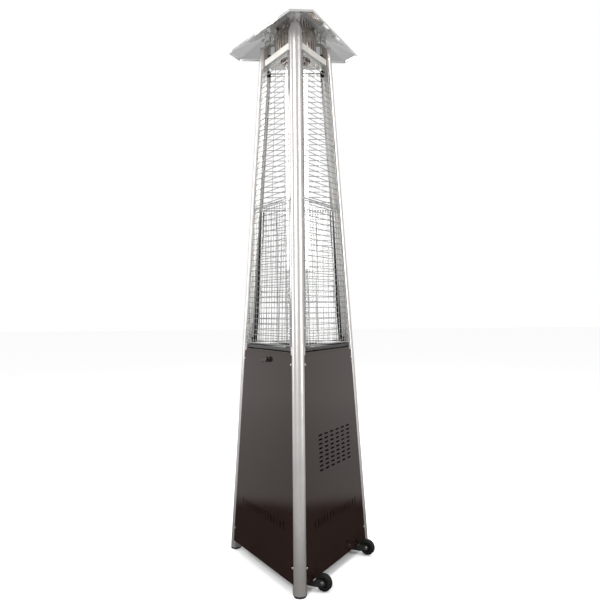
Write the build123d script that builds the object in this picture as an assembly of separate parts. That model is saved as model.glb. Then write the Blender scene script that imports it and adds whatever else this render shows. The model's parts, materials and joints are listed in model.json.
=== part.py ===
from build123d import *
from math import atan, cos, pi, radians, sin, sqrt, tan
import os

# A three-sided gas patio heater: three leaning posts carry a gas cylinder base, six wire
# guards round a glass flame tube, and a reflector hood. Millimetres, +Z up. The origin is
# on the tower's axis at floor level, the front post points to -Y.

# Posts
post_height = 2163.0
foot_radius = 320.0        # tower axis to a post's axis at the floor
head_radius = 146.0        # the same at the top of the posts
nose_radius = 23.5         # round outer face of the extrusion
seat_offset = 18.5         # post axis to the ledge that panels and guards lie on
seat_end = 22.0            # how far that ledge reaches along a face
back_offset = 20.8         # post axis to the flat inner face
back_half_width = 7.97     # half the width of that face
post_wall = 2.2
top_flat = 7.0             # half the level part of a post's top
foot_height = 8.0

# Base
panel_low = 38.5
panel_high = 877.0
sheet = 1.8
edge_inset = 13.2          # post axis to the edge of a panel or guard, along the face
return_inset = 23.0        # the same for a folded return, clear of the post
lip_radius = 12.0
tray_height = 40.0
plate_inset = 27.0         # post axis to the corners of a level plate, along the face
plate_back = 25.0          # post axis to its cut corner
tab_thickness = 6.2        # from a post's inner face into the plate's corner
deck_height = 880.0
door_gap = 0.5             # the door stands this far off the ledges

# Guards
guard_low = 897.0
guard_joint = 1463.0
guard_high = 2058.0
wire_pitch = 22.5
wire_radius = 1.5
guard_strip_end = 28.0     # post axis to the inner edge of a guard's side strips
guard_bar = 5.0            # height of its top and bottom bars
stay_spacing = 170.0
strip_width = 15.0         # black rails on the rear posts
pad_size = (9.0, 15.0, 26.0)  # black pads on the same posts' inner faces
pad_heights = (908.5, 2045.0, 2112.0)

# Head
top_plate_height = 2070.0
screen_radius = 86.0       # slotted ring round the tube's outlet
screen_top = 2180.0
screen_slots = 36
screen_slot = 84.0
hood_rim = 2150.0
hood_roof = 2200.0
hood_long_side = 186.0     # axis to a long edge of the rim
hood_corner = 296.0        # axis to a cut corner of the rim
roof_long_side = 85.0
roof_corner = 158.0
hood_turn = 4.5            # the hood sits a little round on its brackets, in degrees
hood_sheet = 1.5

# Flame tube and burner
tube_radius = 50.0
tube_wall = 2.5
tube_low = 828.0
tube_high = 2085.0

# Gas control on the left panel
control_side = 15.0        # from the middle of the face, towards the front post
control_height = 839.0
knob_radius = 10.75
knob_travel = 4.0
lever_length = 44.0
lever_droop = 12.0         # degrees below level when off

# Wheels, on the right side
wheel_radius = 32.0
wheel_width = 22.0
wheel_height = 33.5
wheel_side = 197.0         # from the middle of the right face, each way
wheel_out = 216.0          # tower axis to the axle
axle_radius = 4.0
running_gap = 0.08

post_angles = {"front": -90.0, "left": 150.0, "right": 30.0}
face_angles = {"left": 210.0, "right": 330.0, "rear": 90.0}

lean = (foot_radius - head_radius) / post_height
face_tilt = atan(lean / 2)
post_tilt = atan(lean)


def post_radius(z):
    return foot_radius - lean * z


def face_distance(z):
    return post_radius(z) / 2


def half_side(z):
    return post_radius(z) * sqrt(3) / 2


def up_face(z):
    return z / cos(face_tilt)


def up_post(z, x=0.0):
    """How far up a post's own frame the height z lies, x out from the post's axis."""
    return (z - x * sin(post_tilt)) / cos(post_tilt)


def level_direction(angle):
    return Vector(cos(radians(angle)), sin(radians(angle)), 0)


def post_plane(angle):
    """X is out through the nose, Z runs up the post."""
    out = level_direction(angle)
    return Plane(out * foot_radius, x_dir=out + Vector(0, 0, lean), z_dir=Vector(0, 0, 1) - out * lean)


def face_plane(angle):
    """X runs along the face, Y up its slope and Z out of it, from the line between two posts."""
    out = level_direction(angle)
    along = level_direction(angle + 90)
    return Plane(out * (foot_radius / 2), x_dir=along, z_dir=out + Vector(0, 0, lean / 2))


def ledge_point(along, out, side):
    """A point of a post's section, given along the face beside it and out of that face."""
    return (out * 0.5 - along * sqrt(0.75), side * (out * sqrt(0.75) + along * 0.5))


def save(node, shape):
    export_step(shape, f"parts/{node}.step")
    print(node, round(shape.volume))


def cylinder_at(place, radius, low, high):
    """A cylinder on the Z axis of a plane or location."""
    return extrude(place * Pos(0, 0, low) * Circle(radius), amount=high - low)


def ring_at(place, outer, inner, low, high):
    return cylinder_at(place, outer, low, high) - cylinder_at(place, inner, low - 1, high + 1)


# ---------------------------------------------------------------- posts and feet


def post_outline(skin, step):
    """The extrusion's section, drawn skin inside its outer surface."""
    radius = nose_radius - skin
    ledge = seat_offset - skin
    top = ledge + step
    reach = sqrt(radius ** 2 - top ** 2)
    right = [ledge_point(reach, top, 1)]
    if step > 0:
        right.append(ledge_point(reach, ledge, 1))
    right.append(ledge_point(seat_end - skin, ledge, 1))
    right.append((-back_offset + skin, back_half_width - skin * tan(radians(30))))
    left = [(x, -y) for x, y in reversed(right)]
    edges = ThreePointArc(left[-1], (radius, 0), right[0]) + Polyline(*right, *left)
    return make_face(edges)


def between_heights(shape, low, high):
    slab = Pos(0, 0, (low + high) / 2) * Box(2000, 2000, high - low)
    return shape & slab


def top_corners(angle):
    """Cutters that slope off a post's two top corners."""
    spot = post_plane(angle) * Pos(0, 0, up_post(post_height))
    block = Rot(45, 0, 0) * Box(80, 40, 40)
    reach = 20 / sqrt(2)
    across = (nose_radius + top_flat) / 2
    drop = (nose_radius - top_flat) / 2
    return [spot * Pos(0, side * (across + reach), reach - drop) * block
            for side in (-1, 1)]


def make_post(angle):
    plane = post_plane(angle)
    section = post_outline(0, 1.3) - post_outline(post_wall, 0)
    blank = extrude(plane.offset(-60) * section, amount=post_height + 150)
    return between_heights(blank, foot_height, post_height) - top_corners(angle)


def make_foot(angle):
    plane = post_plane(angle)
    sole = extrude(plane.offset(-40) * post_outline(1.2, 1.3), amount=60)
    plug = extrude(plane.offset(-20) * post_outline(post_wall + 0.1, 0), amount=80)
    plug_low = between_heights(plug, foot_height - 0.01, 42)
    return between_heights(sole, 0, foot_height) + plug_low


# ---------------------------------------------------------------- sheets on the faces


def face_outline(low, high, inset):
    """A flat shape between two posts, its slanted sides inset from the posts' axes."""
    bottom = half_side(low) - inset
    top = half_side(high) - inset
    corners = [(-bottom, up_face(low)), (bottom, up_face(low)), (top, up_face(high)), (-top, up_face(high))]
    return Polygon(*corners, align=None)


def face_sheet(angle, low, high, inset, inner, outer):
    return extrude(face_plane(angle).offset(inner) * face_outline(low, high, inset), amount=outer - inner)


def ledge_holes(angle, heights, depth_low, depth_high, radius):
    """Round holes, or screws, on the middle of both ledges of a face."""
    plane = face_plane(angle).offset(depth_low)
    holes = []
    for z in heights:
        for side in (-1, 1):
            spot = (side * (half_side(z) - (edge_inset + seat_end) / 2), up_face(z))
            holes.append(extrude(plane * Pos(*spot) * Circle(radius), amount=depth_high - depth_low))
    return holes


def make_lip(angle, outer, length):
    """The rolled top edge of a panel, which stops short of the posts."""
    plane = face_plane(angle)
    profile_plane = Plane(plane.origin, x_dir=plane.y_dir, z_dir=plane.x_dir)
    top = up_face(panel_high)
    centre = (top - lip_radius, outer - lip_radius)
    roll = Pos(*centre) * (Circle(lip_radius) - Circle(lip_radius - sheet))
    corner = Pos(centre[0] + lip_radius, centre[1] + lip_radius) * Rectangle(lip_radius * 2, lip_radius * 2)
    quarter = roll & corner
    tail = Pos(top - sheet / 2, centre[1] - 3) * Rectangle(sheet, 6.02)
    flat = Pos(centre[0] - 2, outer - sheet / 2) * Rectangle(4.02, sheet)
    return extrude(profile_plane * (quarter + tail + flat), amount=length, both=True)


def make_panel(angle, outer):
    """A pressed tray: flat front, returns clear of the posts, rolled top."""
    flat_high = panel_high - lip_radius
    front = face_sheet(angle, panel_low, flat_high, edge_inset, outer - sheet, outer)
    block = face_sheet(angle, panel_low, flat_high, return_inset + door_gap, 5, outer - sheet / 2)
    inset = return_inset + door_gap + 1.5
    hollow = face_sheet(angle, panel_low + 1.5, flat_high + 5, inset, 0, outer - sheet / 2)
    lip = make_lip(angle, outer, half_side(panel_high) - return_inset - 2)
    return front + (block - hollow) + lip


def slot_holes(angle, spots, length, width, turn):
    """Rounded slots through a panel's front."""
    plane = face_plane(angle).offset(seat_offset - 3)
    cutter = extrude(plane * Rot(0, 0, turn) * SlotOverall(length, width), amount=10)
    holes = []
    for u, z in spots:
        holes.append(Pos(*(plane.x_dir * u + plane.y_dir * up_face(z))) * cutter)
    return holes


# ---------------------------------------------------------------- wire guards


def make_guard(angle, low, high, stays, screw_heights):
    inner = seat_offset
    outer = seat_offset + sheet
    frame = face_sheet(angle, low, high, edge_inset, inner, outer)
    frame -= face_sheet(angle, low + guard_bar, high - guard_bar, guard_strip_end, inner - 1, outer + 1)
    plane = face_plane(angle)
    depth = inner - wire_radius + 0.4
    wires = []
    count = int((high - low - 4 * guard_bar) / wire_pitch)
    first = (low + high) / 2 - wire_pitch * (count - 1) / 2
    for index in range(count):
        z = first + index * wire_pitch
        half = half_side(z) - return_inset - 1
        middle = plane.origin + plane.y_dir * up_face(z) + plane.z_dir * depth
        wires.append(extrude(Plane(middle, z_dir=plane.x_dir) * Circle(wire_radius), amount=half, both=True))
    for side in stays:
        middle = (up_face(low) + up_face(high)) / 2
        start = plane.origin + plane.x_dir * side + plane.y_dir * middle
        start += plane.z_dir * (depth - wire_radius)
        reach = (up_face(high) - up_face(low)) / 2 - 2
        stay = Plane(start, z_dir=plane.y_dir) * Circle(wire_radius + 0.3)
        wires.append(extrude(stay, amount=reach, both=True))
    frame = frame + wires
    return frame - ledge_holes(angle, screw_heights, inner - 2, outer + 2, 2.3)


# ---------------------------------------------------------------- level plates


def plate_outline(z, edge):
    """A level plate between the posts: edge is how far it reaches out of the line between posts."""
    points = []
    for name in ("front", "right", "left"):
        angle = post_angles[name]
        centre = level_direction(angle) * post_radius(z)
        out = level_direction(angle)
        along = level_direction(angle + 90)
        near = ledge_point(plate_inset, edge, 1)
        local = [(near[0], -near[1]), (-plate_back, -8.5), (-plate_back, 8.5), near]
        for x, y in local:
            spot = centre + out * x + along * y
            points.append((spot.X, spot.Y))
    return Polygon(*points, align=None)


def corner_tabs(z, low, high):
    """Leaning tabs that lie flat on the posts' inner faces."""
    tabs = []
    for angle in post_angles.values():
        plane = post_plane(angle)
        middle = up_post(z + (low + high) / 2, -plate_back)
        tab = plane * Pos(-back_offset - tab_thickness / 2, 0, middle) * Box(tab_thickness, 14, high - low)
        tabs.append(tab)
    return tabs


def corner_screw_cutters(z, radius, low, high):
    """Level with the post's own frame, through a tab and the post's inner wall."""
    cutters = []
    for angle in post_angles.values():
        plane = post_plane(angle)
        start = plane.origin + plane.z_dir * up_post(z, -plate_back) - plane.x_dir * back_offset
        along = Plane(start, z_dir=plane.x_dir * -1)
        cutters.append(cylinder_at(along, radius, low, high))
    return cutters


def make_plate(z, edge, flange, tab_low, tab_high):
    outline = plate_outline(z, edge)
    body = extrude(Pos(0, 0, z) * outline, amount=2)
    if flange:
        wall = outline - offset(outline, -1.5, kind=Kind.INTERSECTION)
        body += extrude(Pos(0, 0, z) * wall, amount=flange)
    return body + corner_tabs(z, tab_low, tab_high)


# ---------------------------------------------------------------- hood


def cut_triangle(long_side, corner):
    """A triangle with its corners cut off, corners towards the posts."""
    tip = 2 * long_side
    half_cut = (tip - corner) / sqrt(3)
    points = []
    for angle in (-90, 30, 150):
        out = level_direction(angle)
        along = level_direction(angle + 90)
        for side in (-1, 1):
            spot = out * corner + along * (side * half_cut)
            points.append((spot.X, spot.Y))
    return Polygon(*points, align=None)


def hood_body(skin, drop):
    rim = Pos(0, 0, hood_rim - drop) * cut_triangle(hood_long_side - skin, hood_corner - skin)
    roof = Pos(0, 0, hood_roof - drop) * cut_triangle(roof_long_side - skin, roof_corner - skin)
    return loft([rim, roof], ruled=True)


def make_hood():
    shell = hood_body(0, 0) - hood_body(hood_sheet, hood_sheet)
    rim = cut_triangle(hood_long_side, hood_corner)
    inner = cut_triangle(hood_long_side - hood_sheet, hood_corner - hood_sheet)
    hem = extrude(Pos(0, 0, hood_rim - 8) * (rim - inner), amount=8.01)
    return Rot(0, 0, hood_turn) * (shell + hem)


bracket_reach = 42.0
bracket_top = hood_roof - hood_sheet


def make_hood_bracket(angle):
    """A plug in the post's end, two wings that stand on it and a tab under the roof."""
    plane = post_plane(angle)
    plug = extrude(plane.offset(post_height - 45) * post_outline(post_wall + 0.1, 0), amount=60)
    plug = between_heights(plug, post_height - 40, post_height) - top_corners(angle)
    centre = level_direction(angle) * post_radius(post_height)
    wings = []
    for side in (-1, 1):
        direction = angle + side * 150
        frame = Location((centre.X, centre.Y, 0), (0, 0, direction))
        middle = (post_height + bracket_top) / 2
        wing = Box(bracket_reach, 2.5, bracket_top - post_height)
        wing = frame * Pos(bracket_reach / 2 - 4, 0, middle) * wing
        slot = frame * Pos(bracket_reach / 2 - 2, 0, post_height + 18) * Box(22, 10, 7)
        wings.append(wing - slot)
    first = centre + level_direction(angle + 150) * (bracket_reach - 6)
    second = centre + level_direction(angle - 150) * (bracket_reach - 6)
    corners = [(centre.X, centre.Y), (first.X, first.Y), (second.X, second.Y)]
    tab = extrude(Pos(0, 0, bracket_top - 2.5) * Polygon(*corners, align=None), amount=2.5)
    hole = Pos(*bracket_hole(angle), bracket_top - 2) * Cylinder(2.6, 12)
    return plug + wings + tab - hole


def bracket_hole(angle):
    spot = level_direction(angle) * (post_radius(post_height) - 22)
    return spot.X, spot.Y


# ---------------------------------------------------------------- build: frame

guard_screw_heights = {"lower": [965.0, guard_joint], "upper": [guard_joint, 1945.0]}
panel_screw_heights = [95.0, 830.0]
frame_screw_heights = {"tray": tray_height + 14, "deck": deck_height - 14, "top": top_plate_height + 14}

post_cutters = []
for angle in face_angles.values():
    heights = guard_screw_heights["lower"] + guard_screw_heights["upper"][1:]
    post_cutters += ledge_holes(angle, heights, 10, seat_offset + 3, 2.3)
for name in ("left", "right"):
    post_cutters += ledge_holes(face_angles[name], panel_screw_heights, 10, seat_offset + 3, 2.3)
for z in frame_screw_heights.values():
    post_cutters += corner_screw_cutters(z, 2.6, -8, 8)

for name, angle in post_angles.items():
    save(f"post_{name}", make_post(angle) - post_cutters)
    save(f"foot_{name}", make_foot(angle))

tray = make_plate(tray_height, 2, 0, 0, 26)
tray -= corner_screw_cutters(frame_screw_heights["tray"], 2.6, -8, 8)
wheel_face = face_angles["right"]
out_right = level_direction(wheel_face)
along_right = level_direction(wheel_face + 90)
bolt_out = 136.0
bracket_offset = -15.0     # each arm stands on the front side of its wheel
tray_bolt_spots = []
for side in (-1, 1):
    for step in (-12, 12):
        base = out_right * (bolt_out + step) + along_right * (side * wheel_side + bracket_offset + 16)
        tray_bolt_spots.append((base.X, base.Y))
tray -= [Pos(x, y, tray_height) * Cylinder(3.1, 20) for x, y in tray_bolt_spots]

hinge_height = tray_height
hinge_out = face_distance(hinge_height) + seat_offset + sheet + door_gap + 7.5
hinge_radius = 3.0
hinge_lug_spots = (-150.0, 150.0)
lug_reach = 38.0
for side in hinge_lug_spots:
    for step in (-16, 16):
        lug = Pos(side + step, hinge_out + 6 - lug_reach / 2, hinge_height + 1) * Box(4, lug_reach, 12)
        tray += lug
    tray -= Pos(side, hinge_out, hinge_height) * Rot(0, 90, 0) * Cylinder(hinge_radius + 0.02, 44)
save("base_tray", tray)
cylinder_ring = ring_at(Plane.XY, 107, 104, tray_height + 2, tray_height + 22)
save("cylinder_ring", cylinder_ring)

# ---------------------------------------------------------------- build: base panels

panel_outer = seat_offset + sheet
control_panel = make_panel(face_angles["left"], panel_outer)
vent_panel = make_panel(face_angles["right"], panel_outer)
rear_door = make_panel(face_angles["rear"], panel_outer + door_gap)

vent_columns = 6
vent_rows = 9
vent_spots = []
for column in range(vent_columns):
    for row in range(vent_rows):
        u = 14.0 + (column - (vent_columns - 1) / 2) * 48.5
        z = 484.0 + (row - (vent_rows - 1) / 2) * 16.7
        vent_spots.append((u, z))
low_slot_spots = [((index - 7) * 25.0, 228.0) for index in range(15)]

control_panel -= slot_holes(face_angles["left"], low_slot_spots, 30, 7, 90)
vent_panel -= slot_holes(face_angles["right"], low_slot_spots, 30, 7, 90)
vent_panel -= slot_holes(face_angles["right"], vent_spots, 30, 6.5, 0)
rear_door -= slot_holes(face_angles["rear"], low_slot_spots, 30, 7, 90)

left_face = face_plane(face_angles["left"])
control_point = left_face.origin + left_face.x_dir * control_side + left_face.y_dir * up_face(control_height)
control_axis = Plane(control_point, x_dir=left_face.x_dir, z_dir=left_face.z_dir)
control_panel -= cylinder_at(control_axis, 7, 0, 30)
for node, name, panel in (("control_panel", "left", control_panel), ("vent_panel", "right", vent_panel)):
    holes = ledge_holes(face_angles[name], panel_screw_heights, seat_offset - 2, panel_outer + 2, 2.3)
    save(node, panel - holes)

knuckle_gap = 0.3
for side in hinge_lug_spots:
    knuckle_axis = Plane((side, hinge_out, hinge_height), x_dir=(0, 1, 0), z_dir=(1, 0, 0))
    knuckle = cylinder_at(knuckle_axis, 6, -14 + knuckle_gap, 14 - knuckle_gap)
    leaf = Pos(side, hinge_out - 7.5, hinge_height + 15) * Box(26, 5, 30)
    web = Pos(side, hinge_out - 4, hinge_height + 2) * Box(26, 6, 5)
    rear_door += knuckle + leaf + web
    rear_door -= cylinder_at(knuckle_axis, hinge_radius + running_gap, -20, 20)
for side in hinge_lug_spots:
    for step in (-16, 16):
        rear_door -= Pos(side + step, hinge_out - 20, hinge_height) * Box(6, 60, 26)
rear_face = face_plane(face_angles["rear"])
door_outer = panel_outer + door_gap
pull_middle = rear_face.origin + rear_face.y_dir * up_face(790)
pull_base = Plane(pull_middle, x_dir=rear_face.x_dir, z_dir=rear_face.z_dir)
rear_door -= cylinder_at(pull_base * Pos(-50, 0, 0), 2.6, 0, 30)
rear_door -= cylinder_at(pull_base * Pos(50, 0, 0), 2.6, 0, 30)
save("rear_door", rear_door)

pins = []
for side in hinge_lug_spots:
    pin_axis = Plane((side, hinge_out, hinge_height), x_dir=(0, 1, 0), z_dir=(1, 0, 0))
    pins.append(cylinder_at(pin_axis, hinge_radius, -21, 21) + cylinder_at(pin_axis, 4.5, 18.02, 21))
save("door_hinge_pins", Compound(pins))

# A strap handle with its two screws
handle_path = [(-50, door_outer), (-50, door_outer + 24), (50, door_outer + 24), (50, door_outer)]
grip_plane = Plane(pull_base.origin, x_dir=pull_base.x_dir, z_dir=pull_base.y_dir * -1)
grip = grip_plane * FilletPolyline(*handle_path, radius=10)
grip_start = Plane(grip @ 0, z_dir=grip % 0)
handle = sweep(grip_start * Circle(5), path=grip)
handle -= cylinder_at(pull_base * Pos(-50, 0, 0), 2.0, 0, door_outer + 12)
handle -= cylinder_at(pull_base * Pos(50, 0, 0), 2.0, 0, door_outer + 12)
save("door_handle", handle)
handle_screws = []
for x in (-50, 50):
    spot = pull_base * Pos(x, 0, 0)
    shank = cylinder_at(spot, 2.0, door_outer - sheet - 2.5, door_outer + 11)
    handle_screws.append(shank + cylinder_at(spot, 4.2, door_outer - sheet - 3, door_outer - sheet))
save("handle_screws", Compound(handle_screws))

# ---------------------------------------------------------------- build: deck, guards, top plate

deck = make_plate(deck_height, 14, 12, -26, 2)
deck -= cylinder_at(Plane.XY, tube_radius + 2, deck_height - 5, deck_height + 5)
deck -= corner_screw_cutters(frame_screw_heights["deck"], 2.6, -8, 8)
cup_screw_spots = [(62 * cos(radians(a)), 62 * sin(radians(a))) for a in (0, 120, 240)]
deck -= [Pos(x, y, deck_height) * Cylinder(2.1, 20) for x, y in cup_screw_spots]
save("burner_deck", deck)

for name, angle in face_angles.items():
    stays = (-stay_spacing / 2, stay_spacing / 2)
    lower = make_guard(angle, guard_low, guard_joint - 1, stays, guard_screw_heights["lower"])
    save(f"guard_lower_{name}", lower)
    upper = make_guard(angle, guard_joint + 1, guard_high, (), guard_screw_heights["upper"])
    save(f"guard_upper_{name}", upper)

collar_ear_angles = (-30, 90, 210)
top_plate = make_plate(top_plate_height, 13, 25, 0, 26)
top_plate -= cylinder_at(Plane.XY, 62, top_plate_height - 5, top_plate_height + 5)
top_plate -= corner_screw_cutters(frame_screw_heights["top"], 2.6, -8, 8)
ear_spots = [(66.5 * cos(radians(a)), 66.5 * sin(radians(a))) for a in collar_ear_angles]
top_plate -= [Pos(x, y, top_plate_height) * Cylinder(2.1, 20) for x, y in ear_spots]
save("top_plate", top_plate)

screen = ring_at(Plane.XY, screen_radius, screen_radius - 1.2, top_plate_height + 2, screen_top)
slot = Pos(screen_radius, 0, (top_plate_height + screen_top) / 2 + 1) * Box(6, 5, screen_slot)
screen -= [Rot(0, 0, index * 360 / screen_slots) * slot for index in range(screen_slots)]
save("outlet_screen", screen)

strip_low = guard_low + 1
strip_high = guard_joint - 5
strip_edge = strip_width + seat_end
rails = face_sheet(face_angles["rear"], strip_low, strip_high, seat_end + running_gap, 3, 8)
rails -= face_sheet(face_angles["rear"], strip_low - 1, strip_high + 1, strip_edge, 2, 9)
pads = []
for name in ("left", "right"):
    plane = post_plane(post_angles[name])
    for z in pad_heights:
        depth = -back_offset - running_gap - pad_size[0] / 2
        pads.append(plane * Pos(depth, 0, up_post(z)) * Box(*pad_size))
save("edge_strips", rails + pads)

# ---------------------------------------------------------------- build: fasteners


def ledge_screws(angle, heights):
    screws = []
    shanks = ledge_holes(angle, heights, seat_offset - post_wall - 4, panel_outer + 0.5, 2.0)
    heads = ledge_holes(angle, heights, panel_outer, panel_outer + 2.4, 4.6)
    for shank, head in zip(shanks, heads):
        screws.append(shank + head)
    return screws


guard_screws = []
for angle in face_angles.values():
    guard_screws += ledge_screws(angle, [965.0, guard_joint, 1945.0])
save("guard_screws", Compound(guard_screws))
panel_screws = []
for name in ("left", "right"):
    panel_screws += ledge_screws(face_angles[name], panel_screw_heights)
save("panel_screws", Compound(panel_screws))

frame_screws = []
for z in frame_screw_heights.values():
    shanks = corner_screw_cutters(z, 2.5, -6, tab_thickness + 0.5)
    heads = corner_screw_cutters(z, 4.6, tab_thickness, tab_thickness + 2.8)
    for shank, head in zip(shanks, heads):
        frame_screws.append(shank + head)
save("frame_screws", Compound(frame_screws))

# ---------------------------------------------------------------- build: flame tube and burner

tube = ring_at(Plane.XY, tube_radius, tube_radius - tube_wall, tube_low, tube_high)
save("glass_tube", tube)
save("tube_seal_lower", ring_at(Plane.XY, 56, 43, tube_low - 6, tube_low))
save("tube_seal_upper", ring_at(Plane.XY, 53.5, tube_radius, top_plate_height + 2, top_plate_height + 12))

collar = ring_at(Plane.XY, 55.5, 53.5, top_plate_height, top_plate_height + 18)
for angle in collar_ear_angles:
    ear = Rot(0, 0, angle) * Pos(64, 0, top_plate_height + 2.75) * Box(18, 16, 1.5)
    collar += ear
collar -= [Pos(x, y, top_plate_height) * Cylinder(2.1, 20) for x, y in ear_spots]
save("tube_collar", collar)

cup_floor = 800.0
cup = ring_at(Plane.XY, 58, 56.5, cup_floor, deck_height)
cup += ring_at(Plane.XY, 58, 16, cup_floor, cup_floor + 1.5)
cup += ring_at(Plane.XY, 68, 56.5, deck_height - 1.5, deck_height)
cup -= [Pos(x, y, deck_height) * Cylinder(2.1, 20) for x, y in cup_screw_spots]
pilot_spot = (38.0, 0.0)
electrode_spot = (38 * cos(radians(28)), 38 * sin(radians(28)))
sensor_spot = (38 * cos(radians(-28)), 38 * sin(radians(-28)))
for x, y in (pilot_spot, electrode_spot, sensor_spot):
    cup -= Pos(x, y, cup_floor) * Cylinder(3.6, 20)
save("burner_cup", cup)

head = ring_at(Plane.XY, 56, 10, tube_low - 12, tube_low - 6)
head += ring_at(Plane.XY, 30, 26, tube_low - 12, tube_low + 22)
head += ring_at(Plane.XY, 16, 10, cup_floor + 2, tube_low - 11)
dome_low = tube_low + 22
dome = cylinder_at(Plane.XY, 30, dome_low, dome_low + 2)
port_rings = ((0, 1), (9, 6), (17, 12), (24, 18))
ports = []
for radius, count in port_rings:
    for index in range(count):
        a = 2 * pi * index / count
        ports.append(Pos(radius * cos(a), radius * sin(a), dome_low) * Cylinder(1.6, 12))
head += dome
head -= ports
for x, y in (pilot_spot, electrode_spot, sensor_spot):
    head -= Pos(x, y, tube_low - 9) * Cylinder(3.6, 20)
save("burner_head", head)

venturi = revolve(Plane.XZ * make_face(Polyline(
    (10, 740), (15, 740), (15, 760), (12, 772), (12, 800), (9.9, 802), (9.9, 815),
    (7.5, 815), (7.5, 790), (9, 772), (11.5, 760), (10, 744), (10, 740))), Axis.Z)
windows = [Rot(0, 0, a) * Pos(13, 0, 751) * Box(16, 8, 9) for a in (0, 90, 180, 270)]
venturi -= windows
collar_ring = ring_at(Plane.XY, 15.9, 11.5, 797, 799.9)
save("venturi_tube", venturi + collar_ring)

jet = cylinder_at(Plane.XY, 9.9, 722, 742) - cylinder_at(Plane.XY, 0.8, 720, 750)
jet += ring_at(Plane.XY, 12, 0.8, 722, 730)
save("gas_jet_holder", jet)

pilot = cylinder_at(Pos(*pilot_spot), 3.4, 785, tube_low + 20)
pilot_hood = cylinder_at(Pos(*pilot_spot), 5, tube_low + 20, tube_low + 30)
save("pilot_burner", pilot + pilot_hood)
electrode = cylinder_at(Pos(*electrode_spot), 3.4, 785, tube_low + 14)
electrode += cylinder_at(Pos(*electrode_spot), 1.0, tube_low + 14, tube_low + 32)
save("igniter_electrode", electrode)
sensor = cylinder_at(Pos(*sensor_spot), 3.0, 785, tube_low + 8)
sensor += cylinder_at(Pos(*sensor_spot), 2.2, tube_low + 8, tube_low + 30)
save("flame_sensor", sensor)


def plate_screw(spot, seat):
    x, y = spot
    return Pos(x, y, seat - 3) * Cylinder(2.0, 7) + Pos(x, y, seat + 1) * Cylinder(3.8, 2)


plate_screws = [plate_screw(spot, deck_height + 2) for spot in cup_screw_spots]
plate_screws += [plate_screw(spot, top_plate_height + 3.5) for spot in ear_spots]
save("plate_screws", Compound(plate_screws))

# ---------------------------------------------------------------- build: gas control

valve_front = 2.0
valve_depth = 44.0
valve = control_axis * Pos(0, 0, valve_front - valve_depth / 2) * Box(38, 40, valve_depth)
valve += cylinder_at(control_axis, 12, valve_front - 1, valve_front + 8)
valve -= cylinder_at(control_axis, 5 + running_gap, valve_front - 20, valve_front + 20)
inlet_port = control_axis * Pos(0, -20, valve_front - 30)
inlet_axis = Plane(inlet_port.position, z_dir=(0, 0, -1))
outlet_point = control_point + left_face.z_dir * (valve_front - valve_depth)
outlet_axis = Plane(outlet_point, z_dir=left_face.z_dir * -1)
valve -= cylinder_at(inlet_axis, 6, -6, 8)
valve -= cylinder_at(outlet_axis, 4.05, -10, 2)
save("gas_valve", valve)

fitting = cylinder_at(inlet_axis, 5.95, -5, 6)
fitting += cylinder_at(inlet_axis, 10, 2, 10)
fitting += cylinder_at(inlet_axis, 7.94, 10, 26)
fitting -= cylinder_at(inlet_axis, 3.5, -8, 30)
save("gas_inlet_fitting", fitting)

bracket = control_axis * Pos(0, 24, valve_front - 20) * Box(30, 3, 30)
bracket_foot_centre = (control_axis * Pos(0, 24, valve_front - 20)).position
post_part = Pos(bracket_foot_centre.X, bracket_foot_centre.Y, (bracket_foot_centre.Z + deck_height) / 2)
bracket += post_part * Rot(0, 0, 30) * Box(26, 3, deck_height - bracket_foot_centre.Z)
bracket_foot = Rot(0, 0, 30) * Box(26, 24, 3)
bracket += Pos(bracket_foot_centre.X, bracket_foot_centre.Y, deck_height - 1.5) * bracket_foot
bracket -= control_axis * Pos(0, 0, valve_front - valve_depth / 2) * Box(39, 40, valve_depth)
save("valve_bracket", bracket)

stem = cylinder_at(control_axis, 5, valve_front - 18, panel_outer + 2)
stem += cylinder_at(control_axis, 4, panel_outer + 1.9, panel_outer + 14)
save("valve_stem", stem)
save("control_bezel", ring_at(control_axis, 12, 7, panel_outer, panel_outer + 2))

knob_low = panel_outer + 2 + knob_travel + 0.3
knob = cylinder_at(control_axis, knob_radius, knob_low, knob_low + 9.5)
knob = chamfer(knob.edges().sort_by(Axis(control_point, left_face.z_dir))[-1], 1.2)
lever_plane = control_axis * Rot(0, 0, 180 + lever_droop)
lever = lever_plane * Pos(lever_length / 2, 0, knob_low + 6.5) * Box(lever_length, 8, 7)
lever_end = lever_plane * Pos(lever_length, 0, knob_low + 6.5) * Cylinder(4, 7)
knob += lever + lever_end
knob -= cylinder_at(control_axis, 4 + running_gap, knob_low - 1, panel_outer + 14 + knob_travel + 0.5)
save("control_knob", knob)

run = outlet_axis.z_dir
turn_down = outlet_point + run * 16
pipe_points = [outlet_point - run * 8, turn_down, Vector(turn_down.X, turn_down.Y, 692), Vector(0, 0, 692),
               Vector(0, 0, 722)]
pipe_path = FilletPolyline(*pipe_points, radius=15)
pipe = sweep(Plane(pipe_path @ 0, z_dir=pipe_path % 0) * Circle(4), path=pipe_path)
save("gas_pipe", pipe)

tilt_switch = Pos(-20, 92, deck_height - 14) * Box(36, 20, 28)
tilt_switch += Pos(-20, 92, deck_height - 1) * Box(52, 20, 2)
save("tilt_switch", tilt_switch)

# ---------------------------------------------------------------- build: wheels


def make_arm():
    """A plate arm in its own plane: X outwards, Y up."""
    outline = Polyline((118, 14), (118, 37), (183, 37), (188, 45),
                       (wheel_out, 45.5), (wheel_out, 21), (190, 16),
                       (118, 14))
    plate = make_face(outline) + Pos(wheel_out, wheel_height) * Circle(12.5)
    return plate - Pos(wheel_out, wheel_height) * Circle(axle_radius + 0.02)


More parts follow.
